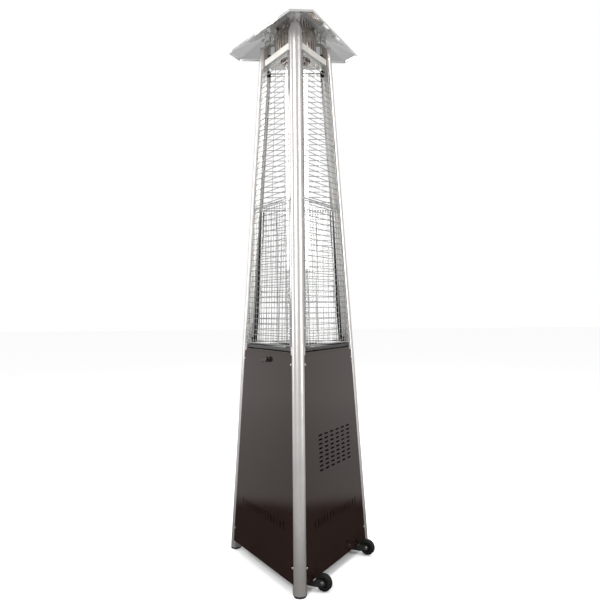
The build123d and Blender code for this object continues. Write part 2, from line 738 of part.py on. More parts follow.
axle_bolts = []
for name, side in (("front", -1), ("rear", 1)):
    centre = along_right * (side * wheel_side)
    arm_plane = Plane(centre + along_right * (bracket_offset + 1.5), x_dir=out_right, z_dir=along_right * -1)
    arm = extrude(arm_plane * make_arm(), amount=3)
    foot_centre = centre + along_right * (bracket_offset + 14) + out_right * bolt_out
    foot = Pos(foot_centre.X, foot_centre.Y, tray_height - 1.5) * Rot(0, 0, wheel_face) * Box(40, 31, 3)
    arm += foot
    arm -= [Pos(x, y, tray_height) * Cylinder(3.1, 20) for x, y in tray_bolt_spots]
    save(f"{name}_wheel_bracket", arm)

    axle_place = centre + out_right * wheel_out + Vector(0, 0, wheel_height)
    axle = Plane(axle_place, x_dir=out_right, z_dir=along_right)
    half = wheel_width / 2
    tyre_profile = make_face(Polyline((22, -half), (28, -half), (wheel_radius - 1, -half + 3),
                                      (wheel_radius, -half + 6), (wheel_radius, half - 6),
                                      (wheel_radius - 1, half - 3), (28, half), (22, half), (22, -half)))
    side_plane = Plane(axle.origin, x_dir=out_right, z_dir=out_right.cross(along_right))
    tyre = revolve(side_plane * tyre_profile, Axis(axle.origin, along_right))
    save(f"{name}_wheel_tyre", tyre)
    hub = ring_at(axle, 22, 18, -half, half) + ring_at(axle, 20, 9, -2.5, 2.5)
    hub += ring_at(axle, 10, axle_radius + running_gap, -half - 1.5, half + 1.5)
    hub -= cylinder_at(axle, axle_radius + running_gap, -20, 20)
    save(f"{name}_wheel_hub", hub)
    bolt = cylinder_at(axle, axle_radius, bracket_offset - 2, half + 7)
    bolt += cylinder_at(axle, 7.5, bracket_offset - 5.5, bracket_offset - 1.5)
    bolt += cylinder_at(axle, 7, half + 2, half + 8)
    axle_bolts.append(bolt)
save("axle_bolts", Compound(axle_bolts))

bolts = []
for x, y in tray_bolt_spots:
    bolt = Pos(x, y, tray_height - 0.5) * Cylinder(3.0, 11)
    bolt += Pos(x, y, tray_height + 4) * Cylinder(5.5, 4)
    bolts.append(bolt)
save("tray_bolts", Compound(bolts))

# ---------------------------------------------------------------- build: hood

hood = make_hood()
hood_screws = []
for name, angle in post_angles.items():
    save(f"hood_bracket_{name}", make_hood_bracket(angle))
    x, y = bracket_hole(angle)
    hood -= Pos(x, y, hood_roof) * Cylinder(2.6, 12)
    screw = Pos(x, y, hood_roof - 3) * Cylinder(2.5, 12)
    screw += Pos(x, y, hood_roof + 1.75) * Cylinder(6, 3.5)
    hood_screws.append(screw)
save("hood", hood)
save("hood_screws", Compound(hood_screws))
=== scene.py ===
import json
from math import atan, cos, pi, radians, sin, sqrt

import bmesh
import bpy
import numpy as np
from mathutils import Matrix, Vector


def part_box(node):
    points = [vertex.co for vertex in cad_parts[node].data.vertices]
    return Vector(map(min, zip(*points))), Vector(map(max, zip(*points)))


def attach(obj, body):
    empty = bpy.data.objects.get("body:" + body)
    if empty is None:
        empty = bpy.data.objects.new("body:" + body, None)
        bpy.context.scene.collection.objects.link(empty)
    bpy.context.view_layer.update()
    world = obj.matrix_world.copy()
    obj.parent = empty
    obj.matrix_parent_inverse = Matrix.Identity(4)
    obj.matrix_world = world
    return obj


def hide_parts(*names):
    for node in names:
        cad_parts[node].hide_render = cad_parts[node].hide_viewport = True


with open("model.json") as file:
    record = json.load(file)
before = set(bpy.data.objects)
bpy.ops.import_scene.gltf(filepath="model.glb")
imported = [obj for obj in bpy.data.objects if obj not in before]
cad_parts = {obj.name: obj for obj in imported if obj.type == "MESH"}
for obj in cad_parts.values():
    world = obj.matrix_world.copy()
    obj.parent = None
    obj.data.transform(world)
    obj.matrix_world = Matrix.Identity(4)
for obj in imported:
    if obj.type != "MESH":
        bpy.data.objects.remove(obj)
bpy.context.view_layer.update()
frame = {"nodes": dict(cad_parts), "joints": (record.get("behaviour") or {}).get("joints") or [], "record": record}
nodes = frame["nodes"]
slotOf = {part["node"]: part["material_slot"] for part in frame["record"]["subparts"]}
bodyOf = {node: body for body, names in frame["record"]["behaviour"]["bodies"].items() for node in names}
print("frame loaded,", len(nodes), "nodes")

scene = bpy.context.scene

# the camera stands in front at about half the tower's height and leans half a degree
camera = {
    "place": (0.0, -2.6125, 1.0383),
    "pitch": 0.848,
    "roll": -0.5,
    "lens": 37.8,
    "sensorWidth": 36.0,
    "shiftX": 0.0041,
    "nearest": 0.02,
}


def setCamera():
    data = bpy.data.cameras.new("viewCamera")
    data.sensor_width = camera["sensorWidth"]
    data.lens = camera["lens"]
    data.shift_x = camera["shiftX"]
    data.clip_start = camera["nearest"]
    obj = bpy.data.objects.new("viewCamera", data)
    scene.collection.objects.link(obj)
    pitch = Matrix.Rotation(radians(90 + camera["pitch"]), 4, "X")
    roll = Matrix.Rotation(radians(camera["roll"]), 4, "Z")
    obj.matrix_world = Matrix.Translation(camera["place"]) @ pitch @ roll
    scene.camera = obj


setCamera()
print("camera set")

# small helpers for meshes
meshCare = {
    "mergeDistance": 0.00002,
    "flatAngle": 0.4,          # CAD triangles that meet within this become one face again
    "bevelSegments": 2,
    "staleAttributes": ("custom_normal", "sharp_face", "sharp_edge"),
}


def newObject(name, mesh):
    obj = bpy.data.objects.new(name, mesh)
    scene.collection.objects.link(obj)
    return obj


def finishMesh(obj, label):
    # turns whatever modifiers the object has into its own plain mesh
    bpy.context.view_layer.update()
    graph = bpy.context.evaluated_depsgraph_get()
    mesh = bpy.data.meshes.new_from_object(obj.evaluated_get(graph))
    mesh.name = label
    obj.modifiers.clear()
    obj.data = mesh
    return obj


def smoothBelow(mesh, degrees):
    for face in mesh.polygons:
        face.use_smooth = True
    mesh.set_sharp_from_angle(angle=radians(degrees))


def cleanCopy(node, label):
    # a CAD node's triangles, joined up and with flat areas made whole again
    mesh = nodes[node].data.copy()
    mesh.name = label
    for attribute in [a.name for a in mesh.attributes if a.name in meshCare["staleAttributes"]]:
        mesh.attributes.remove(mesh.attributes[attribute])
    work = bmesh.new()
    work.from_mesh(mesh)
    bmesh.ops.remove_doubles(work, verts=work.verts, dist=meshCare["mergeDistance"])
    flat = radians(meshCare["flatAngle"])
    bmesh.ops.dissolve_limit(work, angle_limit=flat, verts=work.verts, edges=work.edges)
    work.to_mesh(mesh)
    work.free()
    return mesh


def addBevel(obj, width, degrees=30):
    edge = obj.modifiers.new("edge", "BEVEL")
    edge.width = width
    edge.segments = meshCare["bevelSegments"]
    edge.limit_method = "ANGLE"
    edge.angle_limit = radians(degrees)


def addPiece(obj, node, material=None):
    if material:
        obj.data.materials.clear()
        obj.data.materials.append(material)
    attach(obj, bodyOf[node])
    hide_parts(node)


# small helpers for node trees


def link(tree, out, into):
    tree.links.new(out, into)


def addNode(tree, kind, **settings):
    node = tree.nodes.new(kind)
    for name, value in settings.items():
        setattr(node, name, value)
    return node


def mathNode(tree, operation, first, second=None):
    node = addNode(tree, "ShaderNodeMath", operation=operation)
    for index, value in enumerate((first, second)):
        if value is None:
            continue
        if hasattr(value, "is_output"):
            link(tree, value, node.inputs[index])
        else:
            node.inputs[index].default_value = value
    return node.outputs[0]


def rangeNode(tree, value, fromLow, fromHigh, toLow=0.0, toHigh=1.0, curve="LINEAR"):
    node = addNode(tree, "ShaderNodeMapRange", interpolation_type=curve)
    link(tree, value, node.inputs["Value"])
    settings = {"From Min": fromLow, "From Max": fromHigh, "To Min": toLow, "To Max": toHigh}
    for label, setting in settings.items():
        if hasattr(setting, "is_output"):
            link(tree, setting, node.inputs[label])
        else:
            node.inputs[label].default_value = setting
    return node.outputs[0]


def effectGroup(name, inputs, outputs):
    tree = bpy.data.node_groups.new(name, "ShaderNodeTree")
    for label, kind, value in inputs:
        socket = tree.interface.new_socket(label, in_out="INPUT", socket_type=kind)
        if value is not None:
            socket.default_value = value
    for label, kind in outputs:
        tree.interface.new_socket(label, in_out="OUTPUT", socket_type=kind)
    return tree, addNode(tree, "NodeGroupInput"), addNode(tree, "NodeGroupOutput")


# drawn lines: fine streaks along one way, for extrusions and brushed sheet


def makeDrawnLines():
    tree, start, end = effectGroup(
        "drawnLines",
        [("Vector", "NodeSocketVector", None), ("Across", "NodeSocketFloat", 900.0),
         ("Along", "NodeSocketFloat", 6.0), ("Low", "NodeSocketFloat", 0.0), ("High", "NodeSocketFloat", 1.0)],
        [("Mask", "NodeSocketFloat"), ("Value", "NodeSocketFloat")])
    parts = addNode(tree, "ShaderNodeSeparateXYZ")
    link(tree, start.outputs["Vector"], parts.inputs[0])
    joined = addNode(tree, "ShaderNodeCombineXYZ")
    for index, scale in enumerate(("Across", "Across", "Along")):
        stretched = mathNode(tree, "MULTIPLY", parts.outputs[index], start.outputs[scale])
        link(tree, stretched, joined.inputs[index])
    noise = addNode(tree, "ShaderNodeTexNoise")
    noise.inputs["Scale"].default_value = 1.0
    noise.inputs["Detail"].default_value = 3.0
    link(tree, joined.outputs[0], noise.inputs["Vector"])
    spread = rangeNode(tree, noise.outputs["Fac"], 0.3, 0.7, start.outputs["Low"], start.outputs["High"])
    link(tree, spread, end.inputs["Value"])
    link(tree, noise.outputs["Fac"], end.inputs["Mask"])
    return tree


# handling marks: soft patches that change how clean or dull a surface is


def makeHandlingMarks():
    tree, start, end = effectGroup(
        "handlingMarks",
        [("Vector", "NodeSocketVector", None), ("Size", "NodeSocketFloat", 6.0),
         ("Low", "NodeSocketFloat", 0.0), ("High", "NodeSocketFloat", 1.0)],
        [("Mask", "NodeSocketFloat"), ("Value", "NodeSocketFloat")])
    noise = addNode(tree, "ShaderNodeTexNoise")
    noise.inputs["Detail"].default_value = 5.0
    noise.inputs["Roughness"].default_value = 0.62
    noise.inputs["Distortion"].default_value = 0.4
    link(tree, start.outputs["Vector"], noise.inputs["Vector"])
    link(tree, start.outputs["Size"], noise.inputs["Scale"])
    spread = rangeNode(tree, noise.outputs["Fac"], 0.35, 0.65, start.outputs["Low"], start.outputs["High"])
    link(tree, spread, end.inputs["Value"])
    link(tree, noise.outputs["Fac"], end.inputs["Mask"])
    return tree


drawnLines = makeDrawnLines()
handlingMarks = makeHandlingMarks()


def startMaterial(name, **values):
    material = bpy.data.materials.new(name)
    material.use_nodes = True
    tree = material.node_tree
    shader = tree.nodes["Principled BSDF"]
    for label, value in values.items():
        shader.inputs[label.replace("_", " ")].default_value = value
    coords = addNode(tree, "ShaderNodeTexCoord").outputs["Object"]
    return material, tree, shader, coords


def placeEffect(tree, group, coords, **values):
    node = addNode(tree, "ShaderNodeGroup", node_tree=group)
    link(tree, coords, node.inputs["Vector"])
    for label, value in values.items():
        node.inputs[label].default_value = value
    return node


def varyColour(tree, shader, mask, first, second):
    mix = addNode(tree, "ShaderNodeMix", data_type="RGBA")
    link(tree, mask, mix.inputs["Factor"])
    mix.inputs["A"].default_value = (*first, 1)
    mix.inputs["B"].default_value = (*second, 1)
    link(tree, mix.outputs["Result"], shader.inputs["Base Color"])


def addBump(tree, shader, height, strength, distance):
    bump = addNode(tree, "ShaderNodeBump")
    bump.inputs["Strength"].default_value = strength
    bump.inputs["Distance"].default_value = distance
    link(tree, height, bump.inputs["Height"])
    link(tree, bump.outputs[0], shader.inputs["Normal"])


satinPost = {
    "light": (0.60, 0.58, 0.565),
    "dark": (0.54, 0.52, 0.505),
    "rough": (0.30, 0.38),
    "across": 900.0,           # streaks to the metre round the post and along it
    "along": 6.0,
    "markSize": 9.0,
    "metallic": 0.82,
    "bump": 0.04,
    "depth": 0.0002,
}


def makeSatinPost():
    # satin metal whose streaks run up the tower
    material, tree, shader, coords = startMaterial("satinPostAluminium", Metallic=satinPost["metallic"])
    low, high = satinPost["rough"]
    lines = placeEffect(tree, drawnLines, coords, Across=satinPost["across"], Along=satinPost["along"],
                        Low=low, High=high)
    link(tree, lines.outputs["Value"], shader.inputs["Roughness"])
    marks = placeEffect(tree, handlingMarks, coords, Size=satinPost["markSize"])
    varyColour(tree, shader, marks.outputs["Value"], satinPost["light"], satinPost["dark"])
    addBump(tree, shader, lines.outputs["Mask"], satinPost["bump"], satinPost["depth"])
    return material


def plainSurface(name, light, dark, rough, size=7.0, metallic=1.0, bump=0.1, depth=0.0005, sheen=0.5):
    # metal, paint or plastic with soft patches of colour and of roughness
    material, tree, shader, coords = startMaterial(name, Metallic=metallic, Specular_IOR_Level=sheen)
    marks = placeEffect(tree, handlingMarks, coords, Size=size, Low=rough[0], High=rough[1])
    link(tree, marks.outputs["Value"], shader.inputs["Roughness"])
    patches = placeEffect(tree, handlingMarks, coords, Size=size * 1.7)
    varyColour(tree, shader, patches.outputs["Value"], light, dark)
    addBump(tree, shader, marks.outputs["Mask"], bump, depth)
    return material


bronzePaint = {
    "light": (0.014, 0.0075, 0.006),
    "dark": (0.009, 0.005, 0.004),
    "sheen": 0.52,
    "sheenTint": (1.0, 0.83, 0.79, 1),
    "coat": 0.1,
    "coatRoughness": 0.06,
    "coatIndex": 1.6,
    "rough": (0.08, 0.14),
    "markSize": 4.0,
    "peelSize": 420.0,         # orange peel in the paint
    "peelDepth": 0.00006,
    "peelStrength": 0.3,
}


def makeBronzePaint():
    material, tree, shader, coords = startMaterial("glossyBronzePaint", Metallic=0.0)
    shader.inputs["Coat Weight"].default_value = bronzePaint["coat"]
    shader.inputs["Specular IOR Level"].default_value = bronzePaint["sheen"]
    shader.inputs["Specular Tint"].default_value = bronzePaint["sheenTint"]
    shader.inputs["Coat Roughness"].default_value = bronzePaint["coatRoughness"]
    shader.inputs["Coat IOR"].default_value = bronzePaint["coatIndex"]
    low, high = bronzePaint["rough"]
    marks = placeEffect(tree, handlingMarks, coords, Size=bronzePaint["markSize"], Low=low, High=high)
    link(tree, marks.outputs["Value"], shader.inputs["Roughness"])
    varyColour(tree, shader, marks.outputs["Mask"], bronzePaint["dark"], bronzePaint["light"])
    peel = addNode(tree, "ShaderNodeTexNoise")
    peel.inputs["Scale"].default_value = bronzePaint["peelSize"]
    peel.inputs["Detail"].default_value = 2.0
    link(tree, coords, peel.inputs["Vector"])
    addBump(tree, shader, peel.outputs["Fac"], bronzePaint["peelStrength"], bronzePaint["peelDepth"])
    return material


tubeGlass = {
    "colour": (0.97, 0.985, 0.98, 1),
    "index": 1.47,
    "hazeSize": 5.0,
    "haze": 0.03,
}


def makeTubeGlass():
    material, tree, shader, coords = startMaterial(
        "clearTubeGlass", Base_Color=tubeGlass["colour"], IOR=tubeGlass["index"], Metallic=0.0,
        Transmission_Weight=1.0)
    haze = placeEffect(tree, handlingMarks, coords, Size=tubeGlass["hazeSize"], Low=0.0, High=tubeGlass["haze"])
    link(tree, haze.outputs["Value"], shader.inputs["Roughness"])
    return material


# painted shade on the hood's underside over the outlet: a grey mixed into its colour
undersideShade = {
    "inner": 0.07,
    "outer": 0.17,
    "colour": (0.30, 0.29, 0.28),
}


def paintUndersideShade(tree, shader, coords):
    # painted shade: the underside is darkened over the outlet
    apart = addNode(tree, "ShaderNodeSeparateXYZ")
    link(tree, coords, apart.inputs[0])
    level = addNode(tree, "ShaderNodeCombineXYZ")
    link(tree, apart.outputs["X"], level.inputs["X"])
    link(tree, apart.outputs["Y"], level.inputs["Y"])
    reach = addNode(tree, "ShaderNodeVectorMath", operation="LENGTH")
    link(tree, level.outputs[0], reach.inputs[0])
    fade = rangeNode(tree, reach.outputs["Value"], undersideShade["outer"], undersideShade["inner"], curve="SMOOTHSTEP")
    facing = addNode(tree, "ShaderNodeSeparateXYZ")
    link(tree, addNode(tree, "ShaderNodeNewGeometry").outputs["Normal"], facing.inputs[0])
    under = mathNode(tree, "LESS_THAN", facing.outputs["Z"], 0.0)
    unshadedColour = shader.inputs["Base Color"].links[0].from_socket
    mix = addNode(tree, "ShaderNodeMix", data_type="RGBA")
    link(tree, mathNode(tree, "MULTIPLY", fade, under), mix.inputs["Factor"])
    link(tree, unshadedColour, mix.inputs["A"])
    mix.inputs["B"].default_value = (*undersideShade["colour"], 1)
    link(tree, mix.outputs["Result"], shader.inputs["Base Color"])


polishedHood = {
    "dark": (0.84, 0.84, 0.84),
    "light": (0.95, 0.95, 0.95),
    "rough": (0.10, 0.20),
    "markSize": 11.0,
    "waveSize": 7.0,
    "waveDetail": 1.5,
    "waveStrength": 0.5,
    "waveDepth": 0.02,
}


def makePolishedHood():
    # rolled sheet: long shallow waves in a near mirror
    material, tree, shader, coords = startMaterial("polishedHoodSheet", Metallic=1.0)
    low, high = polishedHood["rough"]
    marks = placeEffect(tree, handlingMarks, coords, Size=polishedHood["markSize"], Low=low, High=high)
    link(tree, marks.outputs["Value"], shader.inputs["Roughness"])
    varyColour(tree, shader, marks.outputs["Mask"], polishedHood["dark"], polishedHood["light"])
    # painted shade on the underside over the outlet
    paintUndersideShade(tree, shader, coords)
    waves = addNode(tree, "ShaderNodeTexNoise")
    waves.inputs["Scale"].default_value = polishedHood["waveSize"]
    waves.inputs["Detail"].default_value = polishedHood["waveDetail"]
    link(tree, coords, waves.inputs["Vector"])
    addBump(tree, shader, waves.outputs["Fac"], polishedHood["waveStrength"], polishedHood["waveDepth"])
    return material


# plain surfaces by slot: two colours to drift between, how rough, and what differs from plain metal
plainSurfaces = {
    "guard_wire": {"name": "brightGuardWire", "light": (0.52, 0.52, 0.515), "dark": (0.42, 0.42, 0.415),
                   "rough": (0.16, 0.30)},
    "plate_steel": {"name": "galvanisedPlate", "light": (0.68, 0.66, 0.63), "dark": (0.57, 0.55, 0.51),
                    "rough": (0.4, 0.55), "metallic": 0.6},
    "tray_steel": {"name": "blackPowderCoat", "light": (0.022, 0.022, 0.022), "dark": (0.03, 0.03, 0.03),
                   "rough": (0.42, 0.58), "size": 60.0, "metallic": 0.0, "bump": 0.3},
    "bracket_aluminium": {"name": "millFinishBracket", "light": (0.84, 0.84, 0.83), "dark": (0.70, 0.70, 0.69),
                          "rough": (0.2, 0.4)},
    "fastener_steel": {"name": "platedScrew", "light": (0.74, 0.73, 0.71), "dark": (0.55, 0.54, 0.52),
                       "rough": (0.25, 0.42), "size": 120.0},
    "seal_silicone": {"name": "redSilicone", "light": (0.36, 0.07, 0.05), "dark": (0.28, 0.05, 0.04),
                      "rough": (0.55, 0.7), "metallic": 0.0},
    "burner_steel": {"name": "heatTintedSteel", "light": (0.60, 0.54, 0.46), "dark": (0.36, 0.30, 0.30),
                     "rough": (0.25, 0.45), "size": 18.0},
    "burner_brass": {"name": "turnedBrass", "light": (0.80, 0.58, 0.26), "dark": (0.62, 0.43, 0.18),
                     "rough": (0.22, 0.38), "size": 40.0},
    "ceramic_white": {"name": "glazedCeramic", "light": (0.82, 0.80, 0.76), "dark": (0.74, 0.71, 0.66),
                      "rough": (0.12, 0.25), "metallic": 0.0},
    "valve_alloy": {"name": "castValveAlloy", "light": (0.58, 0.58, 0.58), "dark": (0.42, 0.42, 0.43),
                    "rough": (0.4, 0.55), "size": 50.0, "bump": 0.4},
    "pipe_aluminium": {"name": "softPipeAluminium", "light": (0.78, 0.78, 0.77), "dark": (0.64, 0.64, 0.63),
                       "rough": (0.3, 0.45)},
    "knob_plastic": {"name": "blackPhenolic", "light": (0.012, 0.012, 0.012), "dark": (0.018, 0.018, 0.018),
                     "rough": (0.28, 0.42), "size": 90.0, "metallic": 0.0, "bump": 0.2},
    "foot_plastic": {"name": "blackFootPlastic", "light": (0.016, 0.016, 0.017), "dark": (0.026, 0.026, 0.026),
                     "rough": (0.4, 0.6), "size": 60.0, "metallic": 0.0, "bump": 0.3, "sheen": 0.25},
    # near-black edge strips, kept almost free of reflection
    "strip_rubber": {"name": "nearBlackEdgeStrip", "light": (0.007, 0.007, 0.007), "dark": (0.012, 0.012, 0.012),
                     "rough": (0.6, 0.8), "size": 60.0, "metallic": 0.0, "sheen": 0.06},
    "arm_steel": {"name": "blackArmPaint", "light": (0.012, 0.012, 0.012), "dark": (0.02, 0.02, 0.02),
                  "rough": (0.3, 0.45), "size": 30.0, "metallic": 0.0, "sheen": 0.22},
    "wheel_tyre": {"name": "tyreRubber", "light": (0.005, 0.005, 0.005), "dark": (0.010, 0.0095, 0.009),
                   "rough": (0.45, 0.7), "size": 70.0, "metallic": 0.0, "bump": 0.3, "sheen": 0.18},
    "wheel_hub": {"name": "mouldedHub", "light": (0.006, 0.006, 0.006), "dark": (0.011, 0.011, 0.011),
                  "rough": (0.22, 0.4), "size": 60.0, "metallic": 0.0, "sheen": 0.25},
    "handle_steel": {"name": "brightHandle", "light": (0.84, 0.84, 0.83), "dark": (0.72, 0.72, 0.71),
                     "rough": (0.14, 0.26)},
}


def makeMaterials():
    made = {slot: plainSurface(**values) for slot, values in plainSurfaces.items()}
    made["post_aluminium"] = makeSatinPost()
    made["panel_bronze"] = makeBronzePaint()
    made["door_bronze"] = made["panel_bronze"]
    made["hood_aluminium"] = makePolishedHood()
    made["tube_glass"] = makeTubeGlass()
    return made


materials = makeMaterials()
print("materials made:", len(materials))

for name, cadObject in nodes.items():
    for slot in cadObject.material_slots:
        slot.material = materials[slotOf[name]]

# pressed, cut and cast pieces keep their CAD shape and get rounded, catching edges
edgeWidths = {
    "post_front": 0.0005, "post_left": 0.0005, "post_right": 0.0005,
    "foot_front": 0.0012, "foot_left": 0.0012, "foot_right": 0.0012,
    "control_panel": 0.0004, "vent_panel": 0.0004, "rear_door": 0.0004,
    "top_plate": 0.0004, "burner_deck": 0.0004, "base_tray": 0.0004, "cylinder_ring": 0.0005,
    "outlet_screen": 0.0003,
    "hood_bracket_front": 0.0004, "hood_bracket_left": 0.0004, "hood_bracket_right": 0.0004,
    "control_knob": 0.0009, "control_bezel": 0.0005, "door_handle": 0.0004,
    "front_wheel_bracket": 0.0005, "rear_wheel_bracket": 0.0005, "edge_strips": 0.0012,
    "gas_valve": 0.0015, "gas_inlet_fitting": 0.0005, "valve_bracket": 0.0005, "valve_stem": 0.0003,
    "tilt_switch": 0.001, "tube_collar": 0.0003, "tube_seal_lower": 0.0015, "tube_seal_upper": 0.0008,
    "burner_cup": 0.0004, "burner_head": 0.0003, "venturi_tube": 0.0004, "gas_jet_holder": 0.0004,
    "pilot_burner": 0.0005, "igniter_electrode": 0.0003, "flame_sensor": 0.0005, "door_hinge_pins": 0.0005,
    "gas_pipe": 0.0003, "glass_tube": 0.0006, "axle_bolts": 0.0008,
}


def roundEdges(node, width):
    label = node + "_finished"
    obj = newObject(label, cleanCopy(node, label))
    addBevel(obj, width, 38)
    smoothBelow(obj.data, 32)
    flatten = obj.modifiers.new("flatten", "WEIGHTED_NORMAL")
    flatten.keep_sharp = True
    finishMesh(obj, label)
    addPiece(obj, node, materials[slotOf[node]])


for name, width in edgeWidths.items():
    roundEdges(name, width)
print("edges rounded on", len(edgeWidths), "pieces")


# geometry node helpers


def shapeTree(name, inputs):
    tree = bpy.data.node_groups.new(name, "GeometryNodeTree")
    tree.interface.new_socket("Geometry", in_out="INPUT", socket_type="NodeSocketGeometry")
    for label, kind, value in inputs:
        socket = tree.interface.new_socket(label, in_out="INPUT", socket_type=kind)
        if value is not None:
            socket.default_value = value
    tree.interface.new_socket("Geometry", in_out="OUTPUT", socket_type="NodeSocketGeometry")
    return tree, addNode(tree, "NodeGroupInput"), addNode(tree, "NodeGroupOutput")


def feed(tree, node, **sources):
    for label, value in sources.items():
        socket = node.inputs[label.replace("_", " ")]
        if hasattr(value, "is_output"):
            link(tree, value, socket)
        else:
            socket.default_value = value
    return node


def realise(tree, geometry, start, end):
    real = addNode(tree, "GeometryNodeRealizeInstances")
    link(tree, geometry, real.inputs[0])
    paint = addNode(tree, "GeometryNodeSetMaterial")
    link(tree, real.outputs[0], paint.inputs["Geometry"])
    link(tree, start.outputs["Material"], paint.inputs["Material"])
    link(tree, paint.outputs[0], end.inputs[0])


def runTree(obj, tree, label, **values):
    modifier = obj.modifiers.new("shape", "NODES")
    modifier.node_group = tree
    wanted = {name.replace("_", " "): value for name, value in values.items()}
    for item in tree.interface.items_tree:
        if item.item_type == "SOCKET" and item.in_out == "INPUT" and item.name in wanted:
            modifier[item.identifier] = wanted[item.name]
    return finishMesh(obj, label)


def vectorOf(tree, x, y, z):
    node = addNode(tree, "ShaderNodeCombineXYZ")
    return feed(tree, node, X=x, Y=y, Z=z).outputs[0]


# screws: a domed head with a cross recess on a plain shank, one on each seat point
screwRecess = {
    "guard_screws": 0.34, "panel_screws": 0.34, "frame_screws": 0.34, "handle_screws": 0.34,
    "plate_screws": 0.34, "hood_screws": 0.30, "tray_bolts": 0.30,
}
screwShape = {
    "headSides": 20,
    "shankSides": 12,
    "rim": 0.5,                # parts of the head's height: its straight rim, then how deep the cross starts
    "crossLift": 0.95,
    "crown": 0.7,              # parts of the head's radius: its flat crown, then the cross's arms
    "armReach": 0.95,
    "armWidth": 0.55,
    "shankDrop": 0.495,        # just under half the shank, so that it enters the head
    "mostTurn": 3.1,
}


def makeScrewTree():
    tree, start, end = shapeTree("screwOnSeats", [
        ("Head Radius", "NodeSocketFloat", 0.0045), ("Head Height", "NodeSocketFloat", 0.0024),
        ("Shank Radius", "NodeSocketFloat", 0.002), ("Shank Length", "NodeSocketFloat", 0.009),
        ("Recess", "NodeSocketFloat", 0.34), ("Seed", "NodeSocketInt", 3),
        ("Material", "NodeSocketMaterial", None)])
    radius, height = start.outputs["Head Radius"], start.outputs["Head Height"]
    body = addNode(tree, "GeometryNodeMeshCylinder")
    rim = mathNode(tree, "MULTIPLY", height, screwShape["rim"])
    feed(tree, body, Vertices=screwShape["headSides"], Radius=radius, Depth=rim)
    dome = addNode(tree, "GeometryNodeExtrudeMesh")
    feed(tree, dome, Mesh=body.outputs["Mesh"], Selection=body.outputs["Top"], Individual=False,
         Offset_Scale=mathNode(tree, "MULTIPLY", height, 1 - screwShape["rim"]))
    shrink = addNode(tree, "GeometryNodeScaleElements")
    feed(tree, shrink, Geometry=dome.outputs["Mesh"], Selection=dome.outputs["Top"], Scale=screwShape["crown"])
    raised = addNode(tree, "GeometryNodeTransform")
    feed(tree, raised, Geometry=shrink.outputs[0],
         Translation=vectorOf(tree, 0.0, 0.0, mathNode(tree, "MULTIPLY", height, screwShape["rim"] / 2)))
    cutters = []
    arm = mathNode(tree, "MULTIPLY", radius, screwShape["armReach"])
    width = mathNode(tree, "MULTIPLY", start.outputs["Recess"], screwShape["armWidth"])
    thin = mathNode(tree, "MULTIPLY", radius, width)
    for size in ((arm, thin), (thin, arm)):
        bar = addNode(tree, "GeometryNodeMeshCube")
        feed(tree, bar, Size=vectorOf(tree, size[0], size[1], height))
        lifted = addNode(tree, "GeometryNodeTransform")
        feed(tree, lifted, Geometry=bar.outputs["Mesh"],
             Translation=vectorOf(tree, 0.0, 0.0, mathNode(tree, "MULTIPLY", height, screwShape["crossLift"])))
        cutters.append(lifted.outputs[0])
    cut = addNode(tree, "GeometryNodeMeshBoolean", operation="DIFFERENCE")
    link(tree, raised.outputs[0], cut.inputs["Mesh 1"])
    for cutter in cutters:
        link(tree, cutter, cut.inputs["Mesh 2"])
    shank = addNode(tree, "GeometryNodeMeshCylinder")
    feed(tree, shank, Vertices=screwShape["shankSides"], Radius=start.outputs["Shank Radius"],
         Depth=start.outputs["Shank Length"])
    drop = mathNode(tree, "MULTIPLY", start.outputs["Shank Length"], -screwShape["shankDrop"])
    sunk = addNode(tree, "GeometryNodeTransform")
    feed(tree, sunk, Geometry=shank.outputs["Mesh"], Translation=vectorOf(tree, 0.0, 0.0, drop))
    whole = addNode(tree, "GeometryNodeJoinGeometry")
    link(tree, cut.outputs["Mesh"], whole.inputs[0])
    link(tree, sunk.outputs[0], whole.inputs[0])
    facing = addNode(tree, "GeometryNodeInputNamedAttribute", data_type="FLOAT_VECTOR")
    facing.inputs["Name"].default_value = "facing"
    aim = addNode(tree, "FunctionNodeAlignRotationToVector", axis="Z")
    link(tree, facing.outputs["Attribute"], aim.inputs["Vector"])
    spin = addNode(tree, "FunctionNodeRandomValue", data_type="FLOAT")
    link(tree, start.outputs["Seed"], spin.inputs["Seed"])
    spin.inputs[3].default_value = screwShape["mostTurn"]
    turn = addNode(tree, "FunctionNodeRotateRotation", rotation_space="LOCAL")
    link(tree, aim.outputs[0], turn.inputs["Rotation"])
    spinRotation = addNode(tree, "FunctionNodeAxisAngleToRotation")
    spinRotation.inputs["Axis"].default_value = (0, 0, 1)
    link(tree, spin.outputs[1], spinRotation.inputs["Angle"])
    link(tree, spinRotation.outputs[0], turn.inputs["Rotate By"])
    place = addNode(tree, "GeometryNodeInstanceOnPoints")
    feed(tree, place, Points=start.outputs["Geometry"], Instance=whole.outputs[0], Rotation=turn.outputs[0])
    realise(tree, place.outputs[0], start, end)
    return tree


def looseParts(node):
    # the points of each separate solid in a CAD node
    work = bmesh.new()
    work.from_mesh(nodes[node].data)
    bmesh.ops.remove_doubles(work, verts=work.verts, dist=meshCare["mergeDistance"])
    seen = set()
    parts = []
    for first in work.verts:
        if first.index in seen:
            continue
        seen.add(first.index)
        stack = [first]
        part = []
        while stack:
            vertex = stack.pop()
            part.append(tuple(vertex.co))
            for edge in vertex.link_edges:
                other = edge.other_vert(vertex)
                if other.index not in seen:
                    seen.add(other.index)
                    stack.append(other)
        parts.append(np.array(part))
    work.free()
    return parts


screwReading = {"headFrom": 0.9, "tipDepth": 0.0002}


